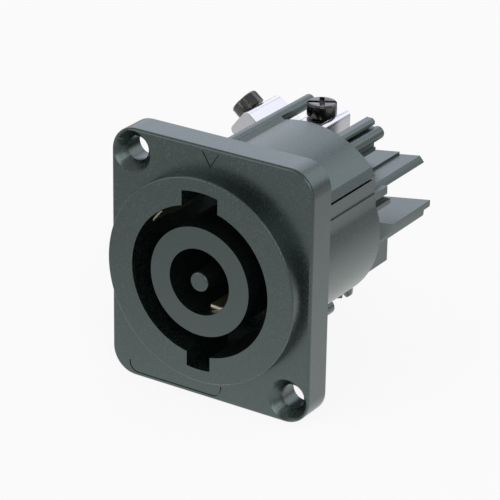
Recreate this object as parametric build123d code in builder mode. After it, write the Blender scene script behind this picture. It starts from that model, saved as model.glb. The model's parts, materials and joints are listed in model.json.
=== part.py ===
from build123d import *
from math import atan2, cos, degrees, radians, sin, sqrt
import os

os.makedirs("parts", exist_ok=True)

# The connector lies along Y. The back of its flange, which seats on the panel, is the plane Y = 0, the
# open face that takes the plug looks towards -Y, and the terminals stand behind the panel, towards +Y.
# The origin is on the socket axis. Angles are taken about that axis, from +X towards +Z.

# Flange
flange_width = 36.0
flange_height = 41.5
flange_thickness = 5.0
flange_corner_radius = 4.2
flange_edge_round = 0.45
screw_hole_x = flange_width / 2 - 3.7
screw_hole_z = flange_height / 2 - 3.8
screw_hole_radius = 1.975
screw_sink_radius = 3.45
screw_sink_angle = 82.0

# Raised ring round the socket
ring_radius = 16.75
ring_height = 2.87
ring_edge_round = 0.3

# Socket and its bayonet tracks
socket_radius = 12.25
socket_depth = 18.0
rear_bore_radius = 12.6
top_keyway_width = 6.4
bottom_keyway_width = 4.2
keyway_radius = 14.6
top_key_angle = 90.0
track_start = 3.5
track_length = 4.6
track_sweep = 50.0

# Barrel behind the flange
barrel_length = 22.8
barrel_radius = 13.57
lobe_radius = 16.1
lobe_start_angle = 44.0
lobe_end_angle = 107.5
lobe_corner_round = 0.3
upper_rib_radius = 16.65
upper_rib_end_angle = 110.4
lower_bead_radius = 1.3
lower_bead_reach = 15.26
lower_bead_angle = 286.95
side_flat_x = 12.55
side_ledge_z = 6.95
side_ledge_width = 0.25
side_slot_z = 9.6
side_slot_width = 0.4
side_slot_depth = 1.3

# Marks in the flange face
mark_width = 0.2
mark_depth = 0.2
arrow_top_z = flange_height / 2 - 0.75
arrow_tip_z = arrow_top_z - 2.3
arrow_half_width = 1.45
plate_left_x = -flange_width / 2 + 3.3
plate_right_x = 2.3
plate_low_z = -flange_height / 2 + 0.7
plate_end_height = 1.9
plate_corner_radius = 1.6

# Socket core: base disc, inner tube and centre post
core_clearance = 0.08
core_base_thickness = 4.0
tube_outer_radius = 8.84
tube_inner_radius = 5.36
tube_front_setback = 0.1
post_radius = 1.6
post_tip_round = 0.35
key_angle = 75.0
key_width = 2.6
key_height = 1.1

# Clamps: the same cage and screw on all three terminals, each with its own direction, offset sideways and
# height of the cage's outer face
earth_angle = 142.0
earth_offset = 1.9
earth_cage_top = 18.9
neutral_angle = 90.0
neutral_offset = -0.9
neutral_cage_top = 15.1
line_angle = 270.0
line_offset = -3.15
line_cage_top = 12.2
cage_width = 5.0
cage_length = 9.6
cage_block_height = 2.9
cage_window_width = 3.7
cage_window_height = 3.95
cage_floor = 0.9
cage_corner_radius = 0.9
cage_slit_width = 0.22
cage_centre_y = barrel_length + 5.4
cage_side_clearance = 0.15
cage_travel = 2.7
thread_radius = 1.75
thread_clearance = 0.05
head_radius = 2.42
head_height = 2.15
head_edge_chamfer = 0.22
head_gap = 0.35
head_slot_width = 0.8
head_slot_depth = 1.0
head_cross_length = 2.8
head_slot_turn = 32.0

# Contacts: brass strip, one blade in the socket and one tail in a cage
contact_thickness = 0.8
contact_tip_chamfer = 0.24
contact_slot_clearance = 0.1
tail_width = 3.0
tail_gap = 0.1
blade_front_y = -5.2
inner_blade_width = 2.3
inner_blade_offset = 1.4
inner_blade_reach = tube_inner_radius + 0.04
earth_blade_width = 2.6
earth_blade_offset = 0.0
earth_blade_reach = socket_radius + 0.55
earth_spring_y = -1.4
earth_spring_ramp = 1.5
earth_spring_length = 7.0
earth_spring_rise = 0.4
contact_step_y = barrel_length - 4.3
tail_end_y = cage_centre_y + 4.2

# Terminal block behind the barrel, its lengths from the barrel's rim
wall_length = 10.2
fin_radius = 13.2
fin_thickness = 1.1
fin_length = 16.7
fin_rear_slope = 0.42
fin_root_x = 3.0
upper_fin_top = 7.4
upper_fin_corner_x = 10.9
upper_fin_step_x = 7.9
upper_fin_step_height = 0.4
lower_fin_top = 0.2
lower_fin_notch_x = 8.4
lower_fin_notch_length = 12.5
lower_fin_lip_height = 0.95
lower_fin_lip_width = 2.4
lower_fin_lip_length = 14.8
lower_fin_gusset_length = 4.8
lower_fin_gusset_height = 2.0
lower_fin_gusset_width = 1.2
top_plate_low = 9.4
top_plate_high = 10.0
top_plate_inner_x = 2.4
top_plate_outer_x = 6.4
top_wall_inner_x = 4.2
top_wall_outer_x = 6.1
top_wall_top = 14.75
top_wall_bevel = 0.4
top_wall_groove_z = 13.6
top_wall_groove_width = 0.4
top_wall_groove_depth = 0.9
rod_radius = 1.08
rod_overrun = 0.4
right_rod_x = 6.55
right_rod_z = 12.4
left_rod_x = -6.35
left_rod_z = 15.0
left_web_low = 9.5
left_web_width = 1.1
left_web_length = 2.2
chamber_wall = 1.15
chamber_mouth = 20.0
shield_length = 8.0
shield_outer_x = 10.5
shield_low_z = -7.9
catch_bar_inner_x = 6.0
upper_catch_outer_x = 12.5
upper_catch_low = 5.6
upper_catch_high = 6.9
upper_catch_length = 3.7
lower_catch_outer_x = 12.3
lower_catch_low = 3.45
lower_catch_high = 4.2
lower_catch_length = 5.2

front_y = -flange_thickness - ring_height
socket_floor_y = front_y + socket_depth
core_back_y = socket_floor_y + core_base_thickness
core_radius = rear_bore_radius - core_clearance
cage_height = cage_block_height + cage_window_height + cage_floor
cage_front_y = cage_centre_y - cage_length / 2


def across(depth):
    """Plane across the connector, X to the right and Z up, at a depth behind the panel seat."""
    return Plane.XZ.offset(-depth)


class Terminal:
    """Place of one clamp: its direction, sideways offset and the height of its cage's outer face."""

    def __init__(self, name, angle, offset, cage_top):
        self.name = name
        self.angle = angle
        self.offset = offset
        self.cage_top = cage_top
        self.out = Vector(cos(radians(angle)), 0, sin(radians(angle)))
        self.side = Vector(sin(radians(angle)), 0, -cos(radians(angle)))

    def section(self, depth):
        """Plane across the connector with its own X sideways and its own Y outwards."""
        return Plane(origin=(0, depth, 0), x_dir=self.side, z_dir=(0, -1, 0))

    def along(self, height):
        """Plane facing outwards at the screw's axis, X sideways and Y towards the rear."""
        foot = self.side * self.offset + Vector(0, cage_centre_y, 0)
        return Plane(origin=foot + self.out * height, x_dir=self.side, z_dir=self.out)

    def side_view(self, sideways):
        """Plane along the socket axis, X towards the rear and Y outwards, facing sideways."""
        return Plane(origin=self.side * sideways, x_dir=(0, 1, 0), z_dir=self.side)

    @property
    def tail_low(self):
        """Inner face of the contact's tail, just over the cage's floor."""
        return self.cage_top - cage_height + cage_floor + tail_gap


earth = Terminal("earth", earth_angle, earth_offset, earth_cage_top)
neutral = Terminal("neutral", neutral_angle, neutral_offset, neutral_cage_top)
line = Terminal("line", line_angle, line_offset, line_cage_top)
terminals = [earth, neutral, line]


def lobe_outline(inner_radius, outer_radius, start, end):
    """Closed outline between two radii and two angles."""
    with BuildLine() as outline:
        outer = CenterArc((0, 0), outer_radius, start, end - start)
        inner = CenterArc((0, 0), inner_radius, start, end - start)
        Line(outer @ 0, inner @ 0)
        Line(outer @ 1, inner @ 1)
    return outline.line


def on_circle(radius, angle):
    """Point of a cross-section on a circle about the socket axis."""
    return (radius * cos(radians(angle)), radius * sin(radians(angle)))


def contact_span(terminal, blade_offset, blade_width):
    """Sideways limits of a contact where its blade and its tail meet."""
    left = min(blade_offset - blade_width / 2, terminal.offset - tail_width / 2)
    right = max(blade_offset + blade_width / 2, terminal.offset + tail_width / 2)
    return left, right


# Housing: flange, ring, keyed socket and barrel in one moulding
earth_left, earth_right = contact_span(earth, earth_blade_offset, earth_blade_width)
lobe_corner = on_circle(lobe_radius, lobe_start_angle)
side_flat_low = sqrt(barrel_radius**2 - side_flat_x**2)
side_band_x = side_flat_x - side_ledge_width
side_slot_top = side_slot_z + side_slot_width / 2

with BuildPart() as flange_housing:
    with BuildSketch(across(-flange_thickness)):
        RectangleRounded(flange_width, flange_height, flange_corner_radius)
    extrude(amount=-flange_thickness)
    flange_front = flange_housing.faces().sort_by(Axis.Y)[0]
    fillet(flange_front.edges(), flange_edge_round)
    with BuildSketch(across(front_y)):
        Circle(ring_radius)
    extrude(amount=-ring_height)
    ring_front = flange_housing.faces().sort_by(Axis.Y)[0]
    fillet(ring_front.edges(), ring_edge_round)
    # Barrel: the plain tube, and twice, half a turn apart, a lobe over the bayonet track and beside it a
    # flat with a ledge and a slot. The upper lobe ends on a rib, the lower one on a round bead
    with BuildSketch(across(0)) as barrel_section:
        Circle(barrel_radius)
        with PolarLocations(0, 2):
            add(make_face(lobe_outline(socket_radius, lobe_radius, lobe_start_angle, lobe_end_angle)))
            with BuildLine():
                Polyline(
                    (0, 0),
                    (side_flat_x, side_flat_low),
                    (side_flat_x, side_ledge_z),
                    (side_band_x, side_ledge_z),
                    (side_band_x, side_slot_top),
                    lobe_corner,
                    close=True,
                )
            make_face()
        for corner in (Vector(*lobe_corner), -Vector(*lobe_corner)):
            fillet(barrel_section.vertices().sort_by_distance(corner)[0], lobe_corner_round)
        add(make_face(lobe_outline(socket_radius, upper_rib_radius, lobe_end_angle, upper_rib_end_angle)))
        with Locations(on_circle(lower_bead_reach, lower_bead_angle)):
            Circle(lower_bead_radius)
    extrude(amount=-barrel_length)
    with BuildSketch(across(0)):
        with PolarLocations(0, 2):
            with Locations((side_band_x, side_slot_z)):
                Rectangle(2 * side_slot_depth, side_slot_width)
    extrude(amount=-barrel_length, mode=Mode.SUBTRACT)
    # Rod beside the upper lobe's rib on a web, in line with the terminal block's rod
    with BuildSketch(across(0)):
        with Locations((left_rod_x, left_rod_z)):
            Circle(rod_radius)
        with Locations((left_rod_x, (left_rod_z + left_web_low) / 2)):
            Rectangle(left_web_width, left_rod_z - left_web_low)
    extrude(amount=-barrel_length)
    # Socket from the front, with the two keyways, and the wider bore from the rear
    with BuildSketch(across(front_y)):
        Circle(socket_radius)
    extrude(amount=-(barrel_length - front_y), mode=Mode.SUBTRACT)
    with BuildSketch(across(socket_floor_y)):
        Circle(rear_bore_radius)
    extrude(amount=-(barrel_length - socket_floor_y), mode=Mode.SUBTRACT)
    with BuildSketch(across(front_y)):
        with Locations((0, keyway_radius / 2)):
            Rectangle(top_keyway_width, keyway_radius)
        with Locations((0, -keyway_radius / 2)):
            Rectangle(bottom_keyway_width, keyway_radius)
        Circle(keyway_radius, mode=Mode.INTERSECT)
    extrude(amount=-(track_start + track_length - front_y), mode=Mode.SUBTRACT)
    # Bayonet tracks: the plug's keys turn clockwise in them
    top_key_half_angle = degrees(atan2(top_keyway_width / 2, keyway_radius))
    with BuildSketch(across(track_start)):
        with PolarLocations(0, 2):
            add(
                make_face(
                    lobe_outline(
                        tube_outer_radius,
                        keyway_radius,
                        top_key_angle + top_key_half_angle - track_sweep,
                        top_key_angle + top_key_half_angle,
                    )
                )
            )
    extrude(amount=-track_length, mode=Mode.SUBTRACT)
    # Slot that keeps the core and the block from turning
    with BuildSketch(across(socket_floor_y)):
        with Locations(Location((0, 0, 0), (0, 0, 1), key_angle)):
            with Locations((rear_bore_radius, 0)):
                Rectangle(2 * (key_height + core_clearance), key_width + 2 * core_clearance)
    extrude(amount=-(barrel_length - socket_floor_y), mode=Mode.SUBTRACT)
    # Groove in the socket's wall for the earth contact, and the notch in the rear edge for its tail
    with BuildSketch(earth.section(blade_front_y - contact_slot_clearance)):
        with Locations((earth_blade_offset, earth_blade_reach - contact_thickness / 2)):
            Rectangle(
                earth_blade_width + 2 * contact_slot_clearance,
                contact_thickness + 2 * contact_slot_clearance,
            )
    extrude(amount=-(barrel_length - blade_front_y + contact_slot_clearance), mode=Mode.SUBTRACT)
    with BuildSketch(earth.section(contact_step_y - contact_slot_clearance)):
        with Locations(((earth_left + earth_right) / 2, barrel_radius)):
            Rectangle(earth_right - earth_left + 2 * contact_slot_clearance, barrel_radius / 2)
    extrude(amount=-barrel_length / 2, mode=Mode.SUBTRACT)
    # Screw holes, arrow mark and the empty name plate outline
    with Locations(across(-flange_thickness)):
        with Locations((-screw_hole_x, screw_hole_z), (screw_hole_x, -screw_hole_z)):
            CounterSinkHole(screw_hole_radius, screw_sink_radius, counter_sink_angle=screw_sink_angle)
    with BuildSketch(across(-flange_thickness)):
        with BuildLine():
            Polyline((-arrow_half_width, arrow_top_z), (0, arrow_tip_z), (arrow_half_width, arrow_top_z))
            FilletPolyline(
                (plate_left_x, plate_low_z + plate_end_height),
                (plate_left_x, plate_low_z),
                (plate_right_x, plate_low_z),
                (plate_right_x, plate_low_z + plate_end_height),
                radius=plate_corner_radius,
            )
        trace(line_width=mark_width)
    extrude(amount=-mark_depth, mode=Mode.SUBTRACT)

flange_housing.part.label = "flange_housing"
export_step(flange_housing.part, "parts/flange_housing.step")

# Socket core: base disc in the rear bore, inner tube and centre post, slotted for the contact blades
slot_width = inner_blade_width + 2 * contact_slot_clearance
slot_height = contact_thickness + 2 * contact_slot_clearance
earth_slot_width = earth_blade_width + 2 * contact_slot_clearance

with BuildPart() as socket_core:
    with BuildSketch(across(socket_floor_y)):
        Circle(core_radius)
        with Locations(Location((0, 0, 0), (0, 0, 1), key_angle)):
            with Locations((core_radius - key_height / 2, 0)):
                Rectangle(3 * key_height, key_width)
    extrude(amount=-core_base_thickness)
    with BuildSketch(across(front_y + tube_front_setback)):
        Circle(tube_outer_radius)
        Circle(tube_inner_radius, mode=Mode.SUBTRACT)
    extrude(amount=-(socket_depth - tube_front_setback))
    with BuildSketch(across(front_y)):
        Circle(post_radius)
    extrude(amount=-socket_depth)
    post_tip = socket_core.faces().filter_by(Axis.Y).sort_by(Axis.Y)[0]
    fillet(post_tip.edges(), post_tip_round)
    for terminal in (neutral, line):
        with BuildSketch(terminal.section(blade_front_y - contact_slot_clearance)):
            with Locations((-inner_blade_offset, inner_blade_reach - contact_thickness / 2)):
                Rectangle(slot_width, slot_height)
        extrude(amount=-(core_back_y - blade_front_y + contact_slot_clearance), mode=Mode.SUBTRACT)
    with BuildSketch(earth.section(socket_floor_y)):
        with Locations((earth_blade_offset, earth_blade_reach)):
            Rectangle(earth_slot_width, slot_height + contact_thickness)
    extrude(amount=-core_base_thickness, mode=Mode.SUBTRACT)

socket_core.part.label = "socket_core"
export_step(socket_core.part, "parts/socket_core.step")


def make_contact(terminal, blade_offset, blade_width, blade_reach):
    """Brass strip: a blade forwards into the socket, a step outwards and a tail into the cage."""
    blade_low = blade_reach - contact_thickness
    tail_low = terminal.tail_low
    step_left, step_right = contact_span(terminal, blade_offset, blade_width)
    with BuildPart() as contact:
        with BuildSketch(terminal.section(blade_front_y)):
            with Locations((blade_offset, blade_low + contact_thickness / 2)):
                Rectangle(blade_width, contact_thickness)
        extrude(amount=-(contact_step_y + contact_thickness - blade_front_y))
        blade_tip = contact.faces().sort_by(Axis.Y)[0]
        chamfer(blade_tip.edges(), contact_tip_chamfer)
        if terminal is earth:
            spring_end_y = earth_spring_y + earth_spring_length
            with BuildSketch(terminal.side_view(blade_offset - blade_width / 2)):
                with BuildLine():
                    Polyline(
                        (earth_spring_y, blade_low),
                        (earth_spring_y + earth_spring_ramp, blade_low - earth_spring_rise),
                        (spring_end_y - earth_spring_ramp, blade_low - earth_spring_rise),
                        (spring_end_y, blade_low),
                        close=True,
                    )
                make_face()
            extrude(amount=blade_width)
        with BuildSketch(terminal.section(contact_step_y)):
            with Locations(((step_left + step_right) / 2, (blade_low + tail_low + contact_thickness) / 2)):
                Rectangle(step_right - step_left, tail_low - blade_low + contact_thickness)
        extrude(amount=-contact_thickness)
        with BuildSketch(terminal.section(contact_step_y)):
            with Locations((terminal.offset, tail_low + contact_thickness / 2)):
                Rectangle(tail_width, contact_thickness)
        extrude(amount=-(tail_end_y - contact_step_y))
    return contact.part


contacts = [
    (line, -inner_blade_offset, inner_blade_width, inner_blade_reach),
    (neutral, -inner_blade_offset, inner_blade_width, inner_blade_reach),
    (earth, earth_blade_offset, earth_blade_width, earth_blade_reach),
]
for terminal, offset_sideways, width, reach in contacts:
    contact_part = make_contact(terminal, offset_sideways, width, reach)
    contact_part.label = terminal.name + "_contact"
    export_step(contact_part, "parts/" + contact_part.label + ".step")


def make_cage(terminal):
    """Clamp cage: strip folded round the wire space, its end lapped under the threaded block."""
    cage_top = terminal.cage_top
    with BuildPart() as cage:
        with BuildSketch(terminal.section(cage_front_y)):
            with Locations((terminal.offset, cage_top - cage_height / 2)):
                RectangleRounded(cage_width, cage_height, cage_corner_radius)
            window_middle = cage_top - cage_block_height - cage_window_height / 2
            with Locations((terminal.offset, window_middle)):
                Rectangle(cage_window_width, cage_window_height, mode=Mode.SUBTRACT)
            slit_middle = cage_top - cage_block_height - cage_slit_width / 2
            with Locations((terminal.offset + cage_width / 2, slit_middle)):
                Rectangle(cage_width - cage_window_width, cage_slit_width, mode=Mode.SUBTRACT)
        extrude(amount=-cage_length)
        with Locations(terminal.along(cage_top)):
            Hole(thread_radius, depth=cage_block_height)
    return cage.part


def make_screw(terminal):
    """Clamp screw with a cheese head, slotted and crossed; its tip bears on the contact's tail."""
    head_bottom = terminal.cage_top + head_gap
    tip = terminal.tail_low + contact_thickness + thread_clearance
    with BuildPart() as screw:
        with BuildSketch(terminal.along(head_bottom)):
            Circle(head_radius)
        extrude(amount=head_height)
        head_top = screw.faces().sort_by(Axis(origin=(0, 0, 0), direction=terminal.out))[-1]
        chamfer(head_top.edges(), head_edge_chamfer)
        with BuildSketch(terminal.along(tip)):
            Circle(thread_radius - thread_clearance)
        extrude(amount=head_bottom - tip)
        with BuildSketch(terminal.along(head_bottom + head_height)):
            with Locations(Location((0, 0, 0), (0, 0, 1), head_slot_turn)):
                Rectangle(3 * head_radius, head_slot_width)
                Rectangle(head_slot_width, head_cross_length)
        extrude(amount=-head_slot_depth, mode=Mode.SUBTRACT)
    return screw.part


for terminal in terminals:
    cage_part = make_cage(terminal)
    cage_part.label = terminal.name + "_clamp_cage"
    export_step(cage_part, "parts/" + cage_part.label + ".step")
    screw_part = make_screw(terminal)
    screw_part.label = terminal.name + "_clamp_screw"
    export_step(screw_part, "parts/" + screw_part.label + ".step")


def chamber(terminal, wall):
    """Space that a cage needs over its whole travel, grown by a wall on its sides and inner end."""
    low = terminal.cage_top - cage_height - cage_travel - cage_side_clearance - wall
    width = cage_width + 2 * cage_side_clearance + 2 * wall
    return low, width


def fin_outline(inner_x, outer_x, corner_x):
    """Plan of a fin from the barrel's rim to its sloping rear edge, fin_length long at corner_x."""
    with BuildLine() as outline:
        Polyline(
            (inner_x, barrel_length),
            (outer_x, barrel_length),
            (outer_x, barrel_length + fin_length + fin_rear_slope * (outer_x - corner_x)),
            (inner_x, barrel_length + fin_length + fin_rear_slope * (inner_x - corner_x)),
            close=True,
        )
    return outline.line


# Terminal block: plug in the rear bore, chambers for the three cages, barrier fins and rails
plug_length = barrel_length - core_back_y
chamber_wall_tops = {"earth": 12.4, "neutral": 10.8, "line": 9.2}

with BuildPart() as terminal_block:
    with BuildSketch(across(core_back_y)):
        Circle(core_radius)
        with Locations(Location((0, 0, 0), (0, 0, 1), key_angle)):
            with Locations((core_radius - key_height / 2, 0)):
                Rectangle(3 * key_height, key_width)
    extrude(amount=-plug_length)
    # Chamber walls, kept inside the barrel's outline
    for terminal in terminals:
        low, width = chamber(terminal, chamber_wall)
        top = chamber_wall_tops[terminal.name]
        with BuildSketch(terminal.section(barrel_length)):
            with Locations((terminal.offset, (low + top) / 2)):
                Rectangle(width, top - low)
            Circle(fin_radius, mode=Mode.INTERSECT)
        extrude(amount=-wall_length)
    # Upper fin, and its raised inner part beside the wall of the neutral clamp
    upper_fin_low = upper_fin_top - fin_thickness
    for low_z, height, inner_x, outer_x in (
        (upper_fin_low, fin_thickness, fin_root_x, fin_radius),
        (upper_fin_top, upper_fin_step_height, top_plate_inner_x, upper_fin_step_x),
    ):
        with BuildSketch(Plane.XY.offset(low_z)):
            make_face(fin_outline(inner_x, outer_x, upper_fin_corner_x))
        extrude(amount=height)
    # Lower fin with its notch and lip, and the left fin between the earth and the line clamp
    lower_fin_low = lower_fin_top - fin_thickness
    with BuildSketch(Plane.XY.offset(lower_fin_low)):
        make_face(fin_outline(lower_fin_notch_x, fin_radius, fin_radius))
        with Locations(((fin_root_x + lower_fin_notch_x) / 2, barrel_length + lower_fin_notch_length / 2)):
            Rectangle(lower_fin_notch_x - fin_root_x, lower_fin_notch_length)
        mirror(make_face(fin_outline(fin_root_x, fin_radius, fin_radius)), about=Plane.YZ)
    extrude(amount=fin_thickness)
    with BuildSketch(Plane.XY.offset(lower_fin_low - lower_fin_lip_height)):
        with Locations((fin_radius - lower_fin_lip_width / 2, barrel_length + lower_fin_lip_length / 2)):
            Rectangle(lower_fin_lip_width, lower_fin_lip_length)
    extrude(amount=lower_fin_lip_height)
    # Shield under the lower fin, right of the line clamp
    with BuildSketch(across(barrel_length)):
        with Locations(((fin_root_x + shield_outer_x) / 2, (lower_fin_top + shield_low_z) / 2)):
            Rectangle(shield_outer_x - fin_root_x, lower_fin_top - shield_low_z)
    extrude(amount=-shield_length)
    # The fins and the shield end on the barrel's round outline
    with BuildSketch(across(barrel_length)):
        Circle(2 * fin_radius)
        Circle(fin_radius, mode=Mode.SUBTRACT)
    extrude(amount=-2 * wall_length, mode=Mode.SUBTRACT)
    # Gusset at the outer end of the lower fin's root
    with BuildSketch(Plane.YZ.offset(fin_radius)):
        with BuildLine():
            Polyline(
                (barrel_length, lower_fin_low),
                (barrel_length, lower_fin_top + lower_fin_gusset_height),
                (barrel_length + lower_fin_gusset_length, lower_fin_top),
                (barrel_length + lower_fin_gusset_length, lower_fin_low),
                close=True,
            )
        make_face()
    extrude(amount=-lower_fin_gusset_width)
    # Wall right of the neutral clamp on its plate, with a groove and a bevelled top
    with BuildSketch(across(barrel_length)) as wall_section:
        with Locations(((top_wall_inner_x + top_wall_outer_x) / 2, (top_plate_low + top_wall_top) / 2)):
            Rectangle(top_wall_outer_x - top_wall_inner_x, top_wall_top - top_plate_low)
        with Locations(((top_plate_inner_x + top_plate_outer_x) / 2, (top_plate_low + top_plate_high) / 2)):
            Rectangle(top_plate_outer_x - top_plate_inner_x, top_plate_high - top_plate_low)
        with Locations((top_wall_outer_x, top_wall_groove_z)):
            Rectangle(2 * top_wall_groove_depth, top_wall_groove_width, mode=Mode.SUBTRACT)
        chamfer(wall_section.vertices().sort_by(Axis.Y)[-2:], top_wall_bevel)
    extrude(amount=-wall_length)
    # Rods on both sides of the neutral clamp, the left one on a web that stands at the barrel's rim
    with BuildSketch(across(barrel_length)):
        with Locations((right_rod_x, right_rod_z), (left_rod_x, left_rod_z)):
            Circle(rod_radius)
    extrude(amount=-(wall_length + rod_overrun))
    with BuildSketch(across(barrel_length)):
        with Locations((left_rod_x, (left_rod_z + left_web_low) / 2)):
            Rectangle(left_web_width, left_rod_z - left_web_low)
    extrude(amount=-left_web_length)
    # Two catch bars between the fins
    for low_z, high_z, outer_x, length in (
        (upper_catch_low, upper_catch_high, upper_catch_outer_x, upper_catch_length),
        (lower_catch_low, lower_catch_high, lower_catch_outer_x, lower_catch_length),
    ):
        with BuildSketch(across(barrel_length)):
            with Locations(((catch_bar_inner_x + outer_x) / 2, (low_z + high_z) / 2)):
                Rectangle(outer_x - catch_bar_inner_x, high_z - low_z)
        extrude(amount=-length)
    # Room for the cages over their travel
    for terminal in terminals:
        low, width = chamber(terminal, 0)
        with BuildSketch(terminal.section(barrel_length)):
            with Locations((terminal.offset, (low + chamber_mouth) / 2)):
                Rectangle(width, chamber_mouth - low)
        extrude(amount=-fin_length, mode=Mode.SUBTRACT)
    # Pockets in the plug for the blades, steps and tails of the contacts
    for terminal, blade_offset, blade_width, blade_reach in contacts:
        left, right = contact_span(terminal, blade_offset, blade_width)
        low = blade_reach - contact_thickness
        high = terminal.tail_low + contact_thickness
        with BuildSketch(terminal.section(core_back_y)):
            with Locations(((left + right) / 2, (low + high) / 2)):
                Rectangle(
                    right - left + 2 * contact_slot_clearance,
                    high - low + 2 * contact_slot_clearance,
                )
        extrude(amount=-plug_length, mode=Mode.SUBTRACT)

terminal_block.part.label = "terminal_block"
export_step(terminal_block.part, "parts/terminal_block.step")
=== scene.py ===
"""Looks of the chassis power connector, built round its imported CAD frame.

The CAD nodes give every form. Each one is dressed here: its edges get the small rounds that
moulding, folding or turning leaves, the clamp screws get their threads and full cross slots, the
housing's rib gets its sloped side, and every piece gets the material that the real one is made of.
"""

from __future__ import annotations

import json
import logging
import math
from collections.abc import Callable
from dataclasses import dataclass, field
from enum import Enum
from typing import Any

import bmesh
import bpy
from mathutils import Euler, Matrix, Vector

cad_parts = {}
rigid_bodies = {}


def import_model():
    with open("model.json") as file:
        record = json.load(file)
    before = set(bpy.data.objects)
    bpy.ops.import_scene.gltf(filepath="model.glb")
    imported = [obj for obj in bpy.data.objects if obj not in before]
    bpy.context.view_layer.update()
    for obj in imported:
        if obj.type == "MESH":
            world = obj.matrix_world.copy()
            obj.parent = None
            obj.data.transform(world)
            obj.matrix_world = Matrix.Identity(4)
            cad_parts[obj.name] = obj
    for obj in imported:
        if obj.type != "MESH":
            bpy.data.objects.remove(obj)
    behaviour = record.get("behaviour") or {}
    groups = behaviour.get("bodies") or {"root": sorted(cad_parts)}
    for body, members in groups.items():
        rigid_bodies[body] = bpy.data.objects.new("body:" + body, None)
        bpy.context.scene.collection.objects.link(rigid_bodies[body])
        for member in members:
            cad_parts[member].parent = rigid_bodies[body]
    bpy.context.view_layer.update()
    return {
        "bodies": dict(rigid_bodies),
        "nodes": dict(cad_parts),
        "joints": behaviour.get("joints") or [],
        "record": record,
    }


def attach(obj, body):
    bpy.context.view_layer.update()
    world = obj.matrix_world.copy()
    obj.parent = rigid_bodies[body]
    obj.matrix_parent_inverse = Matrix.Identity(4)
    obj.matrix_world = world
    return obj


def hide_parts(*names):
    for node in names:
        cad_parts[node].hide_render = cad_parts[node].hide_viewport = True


LOG = logging.getLogger("chassis_power_connector")
MM = 0.001
WHITE = (1.0, 1.0, 1.0, 1.0)

# A Mix node has one set of sockets for each data type, all with the same names. These are the
# numbers of its colour sockets.
MIX_COLOUR_A = 6
MIX_COLOUR_B = 7
MIX_COLOUR_RESULT = 2


def linear(hex_colour: str) -> tuple[float, float, float, float]:
    """Turn an sRGB hex colour into linear light, by the sRGB transfer curve.

    Args:
        hex_colour: Colour as "#rrggbb".

    Returns:
        Linear red, green, blue and an alpha of 1.
    """
    parts = []
    for place in (1, 3, 5):
        value = int(hex_colour[place : place + 2], 16) / 255
        parts.append(value / 12.92 if value <= 0.04045 else ((value + 0.055) / 1.055) ** 2.4)
    return (parts[0], parts[1], parts[2], 1.0)


def add_node(
    tree: bpy.types.NodeTree,
    kind: str,
    inputs: dict[str | int, Any] | None = None,
    **settings: Any,
) -> bpy.types.Node:
    """Add one node with its settings, values and incoming links.

    Args:
        tree: Node tree that takes the node.
        kind: Node type, such as "ShaderNodeTexNoise".
        inputs: Input name or number to a value, or to the output socket that feeds it.
        settings: Attributes of the node itself.

    Returns:
        The new node.
    """
    node = tree.nodes.new(kind)
    for name, value in settings.items():
        setattr(node, name, value)
    for name, value in (inputs or {}).items():
        if isinstance(value, bpy.types.NodeSocket):
            tree.links.new(value, node.inputs[name])
        else:
            node.inputs[name].default_value = value
    return node


class Grain(Enum):
    """How a surface's fine pattern lies, as its scale along X, Y and Z.

    It is alike in all directions, or drawn out along Y, the way that the strips are rolled.
    """

    EVEN = (1.0, 1.0, 1.0)
    DRAWN = (1.0, 0.06, 1.0)


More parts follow.
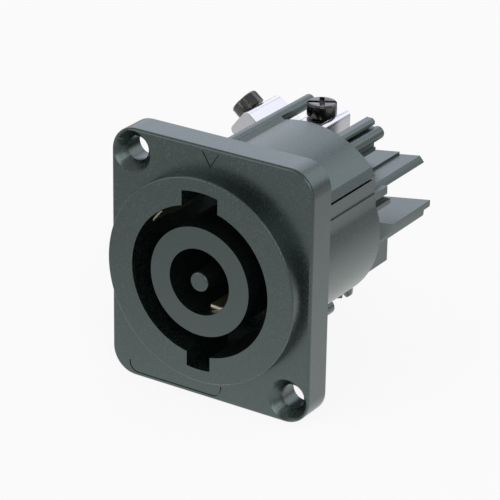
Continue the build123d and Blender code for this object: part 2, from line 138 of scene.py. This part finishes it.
@dataclass(frozen=True)
class SurfaceFinish:
    """Common build of a finish.

    A fine grain gives light specks on the darker base colour, a little variation in the gloss, and
    a shallow relief. The specks come and go in blotches some millimetres wide.
    """

    name: str
    slot: str
    light_hex: str
    dark_hex: str
    roughness_low: float
    roughness_high: float
    grain: Grain
    grain_mm: float
    relief_mm: float
    blotch_mm: float = 6.0
    metallic: float = 0.0
    ior: float | None = None
    specular_level: float = 0.5
    gloss_hex: str = "#ffffff"
    blotch_detail: float = 3.0
    grain_detail: float = 4.0
    grain_roughness: float = 0.6
    speck_range: tuple[float, float] = (0.5, 0.72)
    gloss_range: tuple[float, float] = (0.3, 0.7)

    def build(self) -> bpy.types.Material:
        """Build the material's nodes.

        Returns:
            The material.
        """
        material = bpy.data.materials.new(self.name)
        material.use_nodes = True
        tree = material.node_tree
        tree.nodes.clear()
        place = add_node(tree, "ShaderNodeTexCoord")
        blotch = add_node(
            tree,
            "ShaderNodeTexNoise",
            {
                "Vector": place.outputs["Object"],
                "Scale": 1 / (self.blotch_mm * MM),
                "Detail": self.blotch_detail,
            },
        )
        grain = self.grain_pattern(tree, place)
        specks = add_node(
            tree,
            "ShaderNodeMapRange",
            {"Value": grain, "From Min": self.speck_range[0], "From Max": self.speck_range[1]},
        )
        patches = add_node(
            tree,
            "ShaderNodeMath",
            {0: specks.outputs["Result"], 1: blotch.outputs["Fac"]},
            operation="MULTIPLY",
        )
        tint = add_node(
            tree,
            "ShaderNodeMix",
            {
                "Factor": patches.outputs[0],
                MIX_COLOUR_A: linear(self.dark_hex),
                MIX_COLOUR_B: linear(self.light_hex),
            },
            data_type="RGBA",
        )
        gloss = add_node(
            tree,
            "ShaderNodeMapRange",
            {
                "Value": grain,
                "From Min": self.gloss_range[0],
                "From Max": self.gloss_range[1],
                "To Min": self.roughness_low,
                "To Max": self.roughness_high,
            },
        )
        relief = add_node(
            tree,
            "ShaderNodeBump",
            {"Height": grain, "Distance": self.relief_mm * MM, "Strength": 1.0},
        )
        values: dict[str | int, Any] = {
            "Base Color": tint.outputs[MIX_COLOUR_RESULT],
            "Metallic": self.metallic,
            "Roughness": gloss.outputs["Result"],
            "Normal": relief.outputs["Normal"],
            "Specular IOR Level": self.specular_level,
            "Specular Tint": linear(self.gloss_hex),
        }
        if self.ior is not None:
            values["IOR"] = self.ior
        shader = add_node(tree, "ShaderNodeBsdfPrincipled", values)
        add_node(tree, "ShaderNodeOutputMaterial", {"Surface": shader.outputs["BSDF"]})
        return material

    def grain_pattern(
        self, tree: bpy.types.NodeTree, place: bpy.types.Node
    ) -> bpy.types.NodeSocket:
        """Add the fine pattern that drives the specks, the gloss and the relief.

        Args:
            tree: The material's tree.
            place: Its texture coordinates.

        Returns:
            The socket that gives the pattern, from 0 to 1.
        """
        placed = add_node(
            tree,
            "ShaderNodeMapping",
            {"Vector": place.outputs["Object"], "Scale": self.grain.value},
        )
        noise = add_node(
            tree,
            "ShaderNodeTexNoise",
            {
                "Vector": placed.outputs["Vector"],
                "Scale": 1 / (self.grain_mm * MM),
                "Detail": self.grain_detail,
                "Roughness": self.grain_roughness,
            },
        )
        return noise.outputs["Fac"]


# Glass-filled polyamide, injection moulded in a spark-eroded tool: near black with a green cast,
# under a satin skin that turns grey wherever it mirrors the studio and stays black inside the
# socket. Spark erosion leaves grains of about 0.05 mm; they are drawn six times as coarse, so that
# the mottle shows. Gloss and index are set above those of plain polyamide, for the clear grey of
# the faces that mirror a lamp.
HOUSING_POLYAMIDE = SurfaceFinish(
    name="moulded_polyamide_housing",
    slot="housing_plastic",
    light_hex="#44534e",
    dark_hex="#0a1210",
    roughness_low=0.25,
    roughness_high=0.35,
    grain=Grain.EVEN,
    grain_mm=0.3,
    relief_mm=0.012,
    ior=1.58,
    specular_level=1.0,
    gloss_hex="#e7fffb",
)

# The same polyamide from a smoother tool cavity. A finer grain, drawn at 0.26 mm and so again
# coarser than the real one, and a shallower relief make the tube's rim and the post look even.
CORE_POLYAMIDE = SurfaceFinish(
    name="moulded_polyamide_core",
    slot="core_plastic",
    light_hex="#2c3836",
    dark_hex="#0a100f",
    roughness_low=0.26,
    roughness_high=0.36,
    grain=Grain.EVEN,
    grain_mm=0.26,
    relief_mm=0.008,
    ior=1.58,
    specular_level=1.0,
    gloss_hex="#e7fffb",
)

# The block at the rear comes from the same granulate. Its grain is that of the core, and a milled
# tool leaves its faces plain and slightly duller.
BLOCK_POLYAMIDE = SurfaceFinish(
    name="moulded_polyamide_block",
    slot="block_plastic",
    light_hex="#2e3a3a",
    dark_hex="#0c1313",
    roughness_low=0.28,
    roughness_high=0.38,
    grain=Grain.EVEN,
    grain_mm=0.26,
    relief_mm=0.008,
    ior=1.58,
    specular_level=1.0,
    gloss_hex="#e7fffb",
)

# Steel strip with electroplated bright nickel: a clean, slightly cool metal whose faces turn white
# where they mirror a lamp and grey elsewhere. Its faint lines from rolling are about 0.05 mm apart
# and are drawn ten times as coarse.
BRIGHT_NICKEL = SurfaceFinish(
    name="nickel_plated_steel_strip",
    slot="clamp_nickel",
    light_hex="#d7d6da",
    dark_hex="#cdccd1",
    roughness_low=0.2,
    roughness_high=0.26,
    grain=Grain.DRAWN,
    grain_mm=0.5,
    relief_mm=0.001,
    metallic=1.0,
)

# Turned steel with an oiled black oxide: a dark, slightly warm metal with grey glints on its
# edges. The oxide's crystals are far too fine to show, so a faint mottle at 0.5 mm stands for
# them.
BLACK_OXIDE = SurfaceFinish(
    name="black_oxide_turned_steel",
    slot="screw_oxide",
    light_hex="#7f7e7d",
    dark_hex="#565554",
    roughness_low=0.15,
    roughness_high=0.22,
    grain=Grain.EVEN,
    grain_mm=0.5,
    relief_mm=0.003,
    metallic=1.0,
)

# Half-hard brass strip, stamped: a pale, slightly dull yellow with the rolling direction faintly
# in its gloss. The lines from rolling are about 0.04 mm apart and are drawn at 0.3 mm.
STAMPED_BRASS = SurfaceFinish(
    name="stamped_brass_strip",
    slot="contact_brass",
    light_hex="#d8d3bd",
    dark_hex="#cac4aa",
    roughness_low=0.36,
    roughness_high=0.46,
    grain=Grain.DRAWN,
    grain_mm=0.3,
    relief_mm=0.001,
    metallic=1.0,
)


@dataclass
class Workshop:
    """Keeps the loaded frame and the built materials, and makes dressed copies of CAD nodes."""

    frame: dict[str, Any]
    merge_mm: float = 0.002
    flat_deg: float = 0.6
    materials: dict[str, bpy.types.Material] = field(default_factory=dict)

    def material(self, finish: SurfaceFinish) -> bpy.types.Material:
        """Give a finish's material, built once.

        Args:
            finish: The finish.

        Returns:
            Its material.
        """
        if finish.name not in self.materials:
            self.materials[finish.name] = finish.build()
        return self.materials[finish.name]

    def dressed_copy(
        self,
        node: str,
        name: str,
        edge_mm: float,
        steps: int = 2,
        sharp_deg: float = 26.0,
        room: float = 0.0,
        reshape: Callable[[bmesh.types.BMesh], None] | None = None,
    ) -> bpy.types.Object:
        """Copy a CAD node's form and round its sharp edges.

        Args:
            node: The CAD node.
            name: Name of the new piece.
            edge_mm: Radius that its edges get.
            steps: Segments of each round.
            sharp_deg: Least angle between the faces of an edge that gets a round.
            room: Least length, in radii, of the edges that meet a rounded edge.
            reshape: What is done to the form before its edges are rounded.

        Returns:
            The new piece, in place.
        """
        source = self.frame["nodes"][node]
        work = bmesh.new()
        work.from_mesh(source.data)
        bmesh.ops.remove_doubles(work, verts=work.verts, dist=self.merge_mm * MM)
        if reshape is not None:
            reshape(work)
        bmesh.ops.dissolve_limit(
            work,
            angle_limit=math.radians(self.flat_deg),
            verts=work.verts,
            edges=work.edges,
            delimit={"NORMAL"},
        )
        self.choose_edges(work, math.radians(sharp_deg), room * edge_mm * MM)
        mesh = bpy.data.meshes.new(name)
        work.to_mesh(mesh)
        work.free()
        piece = bpy.data.objects.new(name, mesh)
        bpy.context.scene.collection.objects.link(piece)
        for polygon in mesh.polygons:
            polygon.use_smooth = True
        bevel = piece.modifiers.new("edge_rounds", "BEVEL")
        bevel.width = edge_mm * MM
        bevel.segments = steps
        bevel.limit_method = "WEIGHT"
        bevel.harden_normals = True
        bevel.miter_outer = "MITER_ARC"
        weigh = piece.modifiers.new("face_shading", "WEIGHTED_NORMAL")
        weigh.keep_sharp = True
        self.apply_modifiers(piece)
        return piece

    def choose_edges(self, work: bmesh.types.BMesh, sharp: float, room: float) -> None:
        """Mark the sharp edges that get a round.

        The bevel modifier shrinks all the rounds of a piece to what its shortest edges allow, so
        edges that meet too short a one can be left out.

        Args:
            work: The form.
            sharp: Least angle between an edge's faces, in radians.
            room: Least length of the edges that meet it, in metres.
        """
        weights = work.edges.layers.float.new("bevel_weight_edge")
        for edge in work.edges:
            if len(edge.link_faces) == 2 and edge.calc_face_angle(0.0) > sharp:
                meeting = (near.calc_length() for end in edge.verts for near in end.link_edges)
                edge[weights] = 1.0 if min(meeting) > room else 0.0

    def apply_modifiers(self, piece: bpy.types.Object) -> None:
        """Bake a piece's modifiers into its mesh.

        Args:
            piece: The piece.
        """
        graph = bpy.context.evaluated_depsgraph_get()
        baked = bpy.data.meshes.new_from_object(piece.evaluated_get(graph), depsgraph=graph)
        piece.modifiers.clear()
        piece.data = baked

    def finish_piece(
        self, piece: bpy.types.Object, finish: SurfaceFinish, body: str, node: str
    ) -> None:
        """Give a piece its material and its body, and hide the CAD node that it replaces.

        Args:
            piece: The piece.
            finish: Its finish.
            body: CAD body that it rides on.
            node: CAD node that it replaces.
        """
        piece.data.materials.clear()
        piece.data.materials.append(self.material(finish))
        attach(piece, body)
        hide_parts(node)
        LOG.info("%s: %d faces", piece.name, len(piece.data.polygons))


@dataclass
class Moulding:
    """One plastic moulding of the connector."""

    shop: Workshop
    node: str
    finish: SurfaceFinish
    edge_mm: float
    sharp_deg: float = 35.0
    room: float = 1.3
    body: str = "connector"

    def build(self) -> None:
        """Build and dress the moulding."""
        piece = self.shop.dressed_copy(
            self.node,
            self.node + "_moulding",
            self.edge_mm,
            sharp_deg=self.sharp_deg,
            room=self.room,
            reshape=self.reshape,
        )
        self.shop.finish_piece(piece, self.finish, self.body, self.node)

    def reshape(self, work: bmesh.types.BMesh) -> None:
        """Leave the form as the CAD node gives it."""


@dataclass
class Housing(Moulding):
    """The flange housing.

    Its flange and ring have their rounds in the CAD form. Here all its sharp edges take part, so
    their rounds stay hair-fine and only keep the shading of the faces apart. The rib beside the
    upper lobe gets its slope on the lobe's side. Angles are taken about the socket axis, from +X
    towards +Z.
    """

    sharp_deg: float = 26.0
    room: float = 0.0
    rib_angle_deg: float = 107.5
    rib_foot_radius_mm: float = 16.1
    rib_top_radius_mm: float = 16.65
    foot_shift_deg: float = -1.2
    top_shift_deg: float = 0.4
    angle_reach_deg: float = 0.1
    radius_reach_mm: float = 0.05

    def reshape(self, work: bmesh.types.BMesh) -> None:
        """Lean the side of the rib back, so that it catches light from above.

        Args:
            work: The housing's form.
        """
        for vertex in work.verts:
            radius = math.hypot(vertex.co.x, vertex.co.z) / MM
            angle = math.degrees(math.atan2(vertex.co.z, vertex.co.x))
            if abs(angle - self.rib_angle_deg) > self.angle_reach_deg:
                continue
            for ring, shift in (
                (self.rib_foot_radius_mm, self.foot_shift_deg),
                (self.rib_top_radius_mm, self.top_shift_deg),
            ):
                if abs(radius - ring) < self.radius_reach_mm:
                    vertex.co.rotate(Matrix.Rotation(-math.radians(shift), 3, "Y"))
                    break


@dataclass
class Clamp:
    """One terminal: its cage, its screw with a real thread, and its contact strip.

    Heights are taken from the socket axis, along the screw.
    """

    shop: Workshop
    name: str
    angle_deg: float
    offset_mm: float
    cage_top_mm: float
    centre_y_mm: float = 28.2
    head_gap_mm: float = 0.35
    head_height_mm: float = 2.15
    arm_length_mm: float = 4.5
    arm_width_mm: float = 0.8
    arm_depth_mm: float = 1.0
    slot_turn_deg: float = 32.0
    tip_height_mm: float = 0.05
    cage_height_mm: float = 7.75
    cage_floor_mm: float = 0.9
    tail_gap_mm: float = 0.1
    contact_thickness_mm: float = 0.8
    shank_radius_mm: float = 1.70
    root_radius_mm: float = 1.34
    pitch_mm: float = 0.6
    flank_share: float = 0.44
    crest_share: float = 0.06
    ridge_root_depth_mm: float = 0.06
    steps_per_turn: int = 28
    fade_steps: int = 10
    fade_least: float = 0.15
    snap_mm: float = 0.02
    cage_edge_mm: float = 0.14
    head_edge_mm: float = 0.1
    strip_edge_mm: float = 0.08
    fine_steps: int = 3

    @property
    def outwards(self) -> Vector:
        """Direction from the socket axis to the clamp."""
        angle = math.radians(self.angle_deg)
        return Vector((math.cos(angle), 0, math.sin(angle)))

    @property
    def sideways(self) -> Vector:
        """Direction across the clamp, square to the socket axis and to the screw."""
        angle = math.radians(self.angle_deg)
        return Vector((math.sin(angle), 0, -math.cos(angle)))

    @property
    def foot(self) -> Vector:
        """Point of the screw's axis nearest to the socket axis, in metres."""
        return (self.sideways * self.offset_mm + Vector((0, self.centre_y_mm, 0))) * MM

    @property
    def tip_mm(self) -> float:
        """Height of the screw's tip over the socket axis."""
        tail = self.cage_top_mm - self.cage_height_mm + self.cage_floor_mm + self.tail_gap_mm
        return tail + self.contact_thickness_mm + self.tip_height_mm

    def build(self) -> None:
        """Build and dress the clamp's three pieces."""
        node = self.name + "_clamp_cage"
        cage = self.shop.dressed_copy(
            node, self.name + "_cage_strip", self.cage_edge_mm, self.fine_steps
        )
        self.shop.finish_piece(cage, BRIGHT_NICKEL, self.name + "_cage", node)
        self.build_screw()
        node = self.name + "_contact"
        strip = self.shop.dressed_copy(node, node + "_strip", self.strip_edge_mm)
        self.shop.finish_piece(strip, STAMPED_BRASS, "connector", node)

    def build_screw(self) -> None:
        """Build the screw: dressed head, shank turned down to the thread's root, and thread."""
        node = self.name + "_clamp_screw"
        screw = self.shop.dressed_copy(
            node, self.name + "_cheese_head_screw", self.head_edge_mm, self.fine_steps
        )
        neck = (self.cage_top_mm + self.head_gap_mm - self.snap_mm) * MM
        shrink = self.root_radius_mm / self.shank_radius_mm
        for vertex in screw.data.vertices:
            away = vertex.co - self.foot
            height = away.dot(self.outwards)
            across = away - self.outwards * height
            if height < neck and across.length < (self.shank_radius_mm + self.snap_mm) * MM:
                vertex.co = self.foot + self.outwards * height + across * shrink
        self.cut_cross(screw)
        self.join_thread(screw)
        self.shop.finish_piece(screw, BLACK_OXIDE, self.name + "_screw", node)

    def cut_cross(self, screw: bpy.types.Object) -> None:
        """Cut the cross's second arm out to the rim of the head.

        Args:
            screw: The screw's piece.
        """
        work = bmesh.new()
        bmesh.ops.create_cube(work, size=1.0)
        size = Vector((self.arm_width_mm, self.arm_length_mm, 2 * self.arm_depth_mm)) * MM
        bmesh.ops.scale(work, vec=size, verts=work.verts)
        mesh = bpy.data.meshes.new("cross_cutter")
        work.to_mesh(mesh)
        work.free()
        cutter = bpy.data.objects.new("cross_cutter", mesh)
        bpy.context.scene.collection.objects.link(cutter)
        side = self.sideways
        turned = Matrix((side, self.outwards.cross(side), self.outwards)).transposed()
        spin = Matrix.Rotation(math.radians(self.slot_turn_deg), 3, "Z")
        head_top = self.cage_top_mm + self.head_gap_mm + self.head_height_mm
        cutter.matrix_world = Matrix.Translation(
            self.foot + self.outwards * head_top * MM
        ) @ (turned @ spin).to_4x4()
        cut = screw.modifiers.new("cross", "BOOLEAN")
        cut.operation = "DIFFERENCE"
        cut.solver = "EXACT"
        cut.object = cutter
        self.shop.apply_modifiers(screw)
        bpy.data.objects.remove(cutter)

    def join_thread(self, screw: bpy.types.Object) -> None:
        """Add the helical ridge of the thread to the screw's mesh.

        Args:
            screw: The screw's piece.
        """
        turn = self.outwards.to_track_quat("Z", "Y").to_matrix()
        start = self.tip_mm + self.pitch_mm * 0.5
        end = self.cage_top_mm + self.head_gap_mm - self.pitch_mm * 0.5
        count = int((end - start) / self.pitch_mm * self.steps_per_turn)
        flank = self.pitch_mm * self.flank_share
        flat = self.pitch_mm * self.crest_share
        inner = self.root_radius_mm - self.ridge_root_depth_mm
        crest = self.shank_radius_mm
        profile = ((inner, -flank), (crest, -flat), (crest, flat), (inner, flank))
        work = bmesh.new()
        work.from_mesh(screw.data)
        rows: list[list[bmesh.types.BMVert]] = []
        for step in range(count + 1):
            around = step / self.steps_per_turn * math.tau
            rise = start + step / self.steps_per_turn * self.pitch_mm
            fade = min(1.0, step / self.fade_steps, (count - step) / self.fade_steps)
            row = []
            for radius, shift in profile:
                reach = inner + (radius - inner) * max(self.fade_least, fade)
                local = Vector((math.cos(around) * reach, math.sin(around) * reach, rise + shift))
                row.append(work.verts.new(self.foot + (turn @ local) * MM))
            rows.append(row)
        for near, far in zip(rows, rows[1:]):
            for this in range(len(profile)):
                after = (this + 1) % len(profile)
                face = work.faces.new((near[this], far[this], far[after], near[after]))
                face.smooth = True
        work.faces.new(rows[0])
        work.faces.new(reversed(rows[-1]))
        bmesh.ops.recalc_face_normals(work, faces=work.faces)
        work.to_mesh(screw.data)
        work.free()


@dataclass(frozen=True)
class Softbox:
    """One square soft lamp that faces the object."""

    name: str
    place_mm: tuple[float, float, float]
    side_mm: float
    colour_hex: str
    power: float

    def build(self) -> None:
        """Hang the lamp."""
        data = bpy.data.lights.new(self.name, "AREA")
        data.shape = "SQUARE"
        data.size = self.side_mm * MM
        data.energy = self.power
        data.color = linear(self.colour_hex)[:3]
        lamp = bpy.data.objects.new(self.name, data)
        bpy.context.scene.collection.objects.link(lamp)
        lamp.location = Vector(self.place_mm) * MM
        lamp.rotation_euler = (-Vector(self.place_mm)).to_track_quat("-Z", "Y").to_euler()


@dataclass
class Studio:
    """Plain pale floor, soft lamps and the camera at the photograph's viewing angle."""

    floor_z_mm: float = -20.8
    floor_size_mm: float = 3000.0
    floor_hex: str = "#f0f0f0"
    camera_place_mm: tuple[float, float, float] = (197.816, -303.953, 164.539)
    camera_turn_deg: tuple[float, float, float] = (65.9218, -0.8905, 32.9189)
    focal_px: float = 2612.2
    image_px: float = 500.0
    sensor_mm: float = 36.0
    clip_mm: tuple[float, float] = (10.0, 10000.0)
    world_strength: float = 0.5
    backdrop_share: float = 0.88
    pool_place_mm: tuple[float, float, float] = (15.0, 20.0, -20.8)
    pool_inner_mm: float = 20.0
    pool_outer_mm: float = 120.0
    pool_level: float = 1.08
    far_level: float = 0.62
    softboxes: tuple[Softbox, ...] = (
        Softbox("over_back_left", (-500.0, 780.0, 560.0), 1000.0, "#e8edff", 3.7),
        Softbox("over_back_right", (430.0, 800.0, 520.0), 700.0, "#f0f4ff", 1.75),
        Softbox("front_left", (-420.0, -520.0, 200.0), 500.0, "#ffffff", 0.8),
        Softbox("beside_camera", (420.0, -560.0, 330.0), 400.0, "#ffffff", 1.2),
    )

    def build(self) -> None:
        """Build floor, world, lamps and camera."""
        self.build_floor()
        self.build_world()
        for softbox in self.softboxes:
            softbox.build()
        self.build_camera()

    def build_floor(self) -> None:
        """Lay the floor, pale to the camera and to gloss, with the object's soft shadow."""
        half = self.floor_size_mm / 2 * MM
        height = self.floor_z_mm * MM
        mesh = bpy.data.meshes.new("floor")
        corners = [
            (-half, -half, height),
            (half, -half, height),
            (half, half, height),
            (-half, half, height),
        ]
        mesh.from_pydata(corners, [], [(0, 1, 2, 3)])
        floor = bpy.data.objects.new("floor", mesh)
        bpy.context.scene.collection.objects.link(floor)
        material = bpy.data.materials.new("pale_floor")
        material.use_nodes = True
        tree = material.node_tree
        tree.nodes.clear()
        path = add_node(tree, "ShaderNodeLightPath")
        paint = add_node(
            tree, "ShaderNodeBsdfDiffuse", {"Color": linear(self.floor_hex), "Roughness": 1.0}
        )
        mirrored = add_node(
            tree,
            "ShaderNodeMixShader",
            {
                0: path.outputs["Is Glossy Ray"],
                1: paint.outputs[0],
                2: self.pool_of_light(tree).outputs[0],
            },
        )
        share = add_node(
            tree,
            "ShaderNodeMath",
            {0: path.outputs["Is Camera Ray"], 1: self.backdrop_share},
            operation="MULTIPLY",
        )
        glow = add_node(tree, "ShaderNodeEmission", {"Color": WHITE, "Strength": 1.0})
        mixed = add_node(
            tree,
            "ShaderNodeMixShader",
            {0: share.outputs[0], 1: mirrored.outputs[0], 2: glow.outputs[0]},
        )
        add_node(tree, "ShaderNodeOutputMaterial", {"Surface": mixed.outputs[0]})
        mesh.materials.append(material)

    def pool_of_light(self, tree: bpy.types.NodeTree) -> bpy.types.Node:
        """Add what the object's gloss sees of the floor: bright near it and duller farther off.

        Args:
            tree: The floor material's tree.

        Returns:
            The emission node.
        """
        place = add_node(tree, "ShaderNodeTexCoord")
        distance = add_node(
            tree,
            "ShaderNodeVectorMath",
            {0: place.outputs["Object"], 1: Vector(self.pool_place_mm) * MM},
            operation="DISTANCE",
        )
        level = add_node(
            tree,
            "ShaderNodeMapRange",
            {
                "Value": distance.outputs["Value"],
                "From Min": self.pool_inner_mm * MM,
                "From Max": self.pool_outer_mm * MM,
                "To Min": self.pool_level,
                "To Max": self.far_level,
            },
        )
        return add_node(
            tree,
            "ShaderNodeEmission",
            {"Color": WHITE, "Strength": level.outputs["Result"]},
        )

    def build_world(self) -> None:
        """Set the even light of the studio, and white where the camera sees past the floor."""
        world = bpy.data.worlds.new("studio")
        bpy.context.scene.world = world
        world.use_nodes = True
        tree = world.node_tree
        tree.nodes.clear()
        path = add_node(tree, "ShaderNodeLightPath")
        soft = add_node(
            tree, "ShaderNodeBackground", {"Color": WHITE, "Strength": self.world_strength}
        )
        white = add_node(tree, "ShaderNodeBackground", {"Color": WHITE, "Strength": 1.0})
        mixed = add_node(
            tree,
            "ShaderNodeMixShader",
            {0: path.outputs["Is Camera Ray"], 1: soft.outputs[0], 2: white.outputs[0]},
        )
        add_node(tree, "ShaderNodeOutputWorld", {"Surface": mixed.outputs[0]})

    def build_camera(self) -> None:
        """Place the camera where the photograph was taken from."""
        data = bpy.data.cameras.new("photo_camera")
        data.sensor_width = self.sensor_mm
        data.lens = self.focal_px / self.image_px * self.sensor_mm
        data.clip_start, data.clip_end = (reach * MM for reach in self.clip_mm)
        camera = bpy.data.objects.new("photo_camera", data)
        bpy.context.scene.collection.objects.link(camera)
        camera.location = Vector(self.camera_place_mm) * MM
        camera.rotation_euler = Euler([math.radians(turn) for turn in self.camera_turn_deg], "XYZ")
        bpy.context.scene.camera = camera
        bpy.context.scene.view_settings.view_transform = "Standard"


def main() -> None:
    """Build the connector piece by piece, then the studio."""
    logging.basicConfig(level=logging.INFO, format="%(message)s")
    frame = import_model()
    shop = Workshop(frame)
    Housing(shop, "flange_housing", HOUSING_POLYAMIDE, 0.13).build()
    for node, finish, edge_mm in (
        ("socket_core", CORE_POLYAMIDE, 0.13),
        ("terminal_block", BLOCK_POLYAMIDE, 0.11),
    ):
        Moulding(shop, node, finish, edge_mm).build()
    for name, angle_deg, offset_mm, cage_top_mm in (
        ("earth", 142.0, 1.9, 18.9),
        ("neutral", 90.0, -0.9, 15.1),
        ("line", 270.0, -3.15, 12.2),
    ):
        Clamp(shop, name, angle_deg, offset_mm, cage_top_mm).build()
    Studio().build()


if __name__ == "__main__":
    main()
